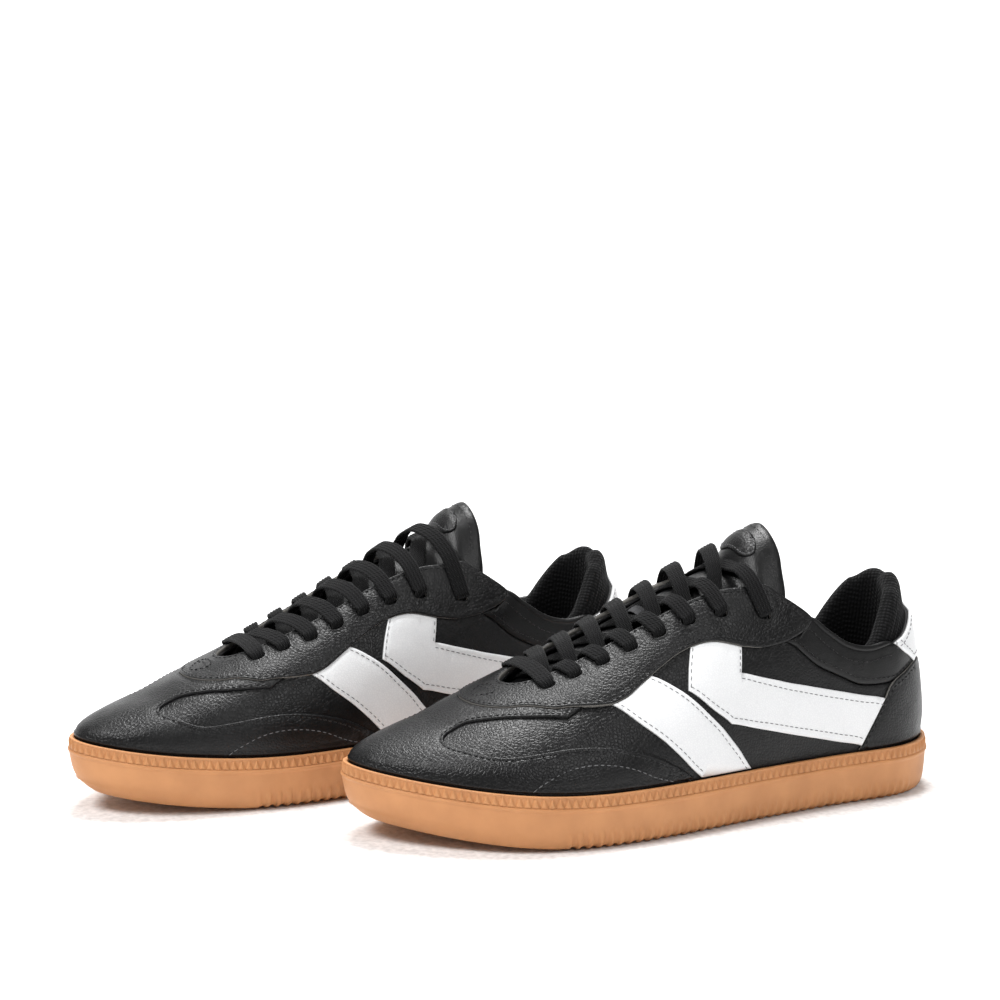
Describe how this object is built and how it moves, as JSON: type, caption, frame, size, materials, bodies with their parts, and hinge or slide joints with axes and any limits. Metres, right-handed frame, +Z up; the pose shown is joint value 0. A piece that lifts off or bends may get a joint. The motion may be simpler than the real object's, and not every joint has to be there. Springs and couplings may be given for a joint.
{
  "type": "court trainers",
  "caption": "Low lace-up court trainers in black leather with white side stripes, white heel tabs and gum rubber cup soles.",
  "frame": {"origin": "floor level, at the middle of the pair's bounding box", "axes": "+Z up from the floor, -Y the way the toes point, +X toward the wearer's left, so the left shoe is at +X"},
  "size_m": [0.2274, 0.389, 0.1272],
  "materials": {
    "gum_rubber": "satin",
    "foam": "matte",
    "board": "matte",
    "black_cloth": "matte",
    "black_mesh": "matte",
    "black_soft_leather": "satin",
    "black_leather": "satin",
    "grey_webbing": "matte",
    "black_lace": "matte",
    "dark_plastic": "gloss",
    "stiffener": "matte",
    "white_leather": "satin"
  },
  "bodies": {
    "left_shoe": {"left_aglet_lateral": "dark_plastic", "left_aglet_medial": "dark_plastic", "left_collar_lining": "black_mesh", "left_collar_panel_lateral": "black_leather", "left_collar_panel_medial": "black_leather", "left_eyestay": "black_leather", "left_front_stripe_lateral": "white_leather", "left_front_stripe_medial": "white_leather", "left_heel_counter": "black_leather", "left_heel_stiffener": "stiffener", "left_heel_tab": "white_leather", "left_insole": "black_cloth", "left_lace": "black_lace", "left_lace_loop": "grey_webbing", "left_lasting_board": "board", "left_midsole_wedge": "foam", "left_outsole": "gum_rubber", "left_quarter_lateral": "black_leather", "left_quarter_medial": "black_leather", "left_rear_stripe_lateral": "white_leather", "left_rear_stripe_medial": "white_leather", "left_toe_overlay": "black_leather", "left_toe_puff": "stiffener", "left_tongue": "black_soft_leather", "left_vamp": "black_leather", "left_vamp_lining": "black_cloth"},
    "left_tongue": {"left_tongue_flap": "black_soft_leather", "left_tongue_patch": "black_leather"},
    "right_shoe": {"right_aglet_lateral": "dark_plastic", "right_aglet_medial": "dark_plastic", "right_collar_lining": "black_mesh", "right_collar_panel_lateral": "black_leather", "right_collar_panel_medial": "black_leather", "right_eyestay": "black_leather", "right_front_stripe_lateral": "white_leather", "right_front_stripe_medial": "white_leather", "right_heel_counter": "black_leather", "right_heel_stiffener": "stiffener", "right_heel_tab": "white_leather", "right_insole": "black_cloth", "right_lace": "black_lace", "right_lace_loop": "grey_webbing", "right_lasting_board": "board", "right_midsole_wedge": "foam", "right_outsole": "gum_rubber", "right_quarter_lateral": "black_leather", "right_quarter_medial": "black_leather", "right_rear_stripe_lateral": "white_leather", "right_rear_stripe_medial": "white_leather", "right_toe_overlay": "black_leather", "right_toe_puff": "stiffener", "right_tongue": "black_soft_leather", "right_vamp": "black_leather", "right_vamp_lining": "black_cloth"},
    "right_tongue": {"right_tongue_flap": "black_soft_leather", "right_tongue_patch": "black_leather"}
  },
  "joints": [
    {"name": "right_shoe_free", "type": "slide", "parent": "left_shoe", "child": "right_shoe", "axis": [-1, 0, 0], "range_m": [0, 0.08]},
    {"name": "left_tongue_flex", "type": "hinge", "parent": "left_shoe", "child": "left_tongue", "pos_m": [0.0577, 0.0869, 0.103], "axis": [1, 0, 0], "range_deg": [-15, 5], "stiffness_Nm_per_rad": 0.05},
    {"name": "right_tongue_flex", "type": "hinge", "parent": "right_shoe", "child": "right_tongue", "pos_m": [-0.0577, -0.0097, 0.103], "axis": [1, 0, 0], "range_deg": [-15, 5], "stiffness_Nm_per_rad": 0.05}
  ]
}
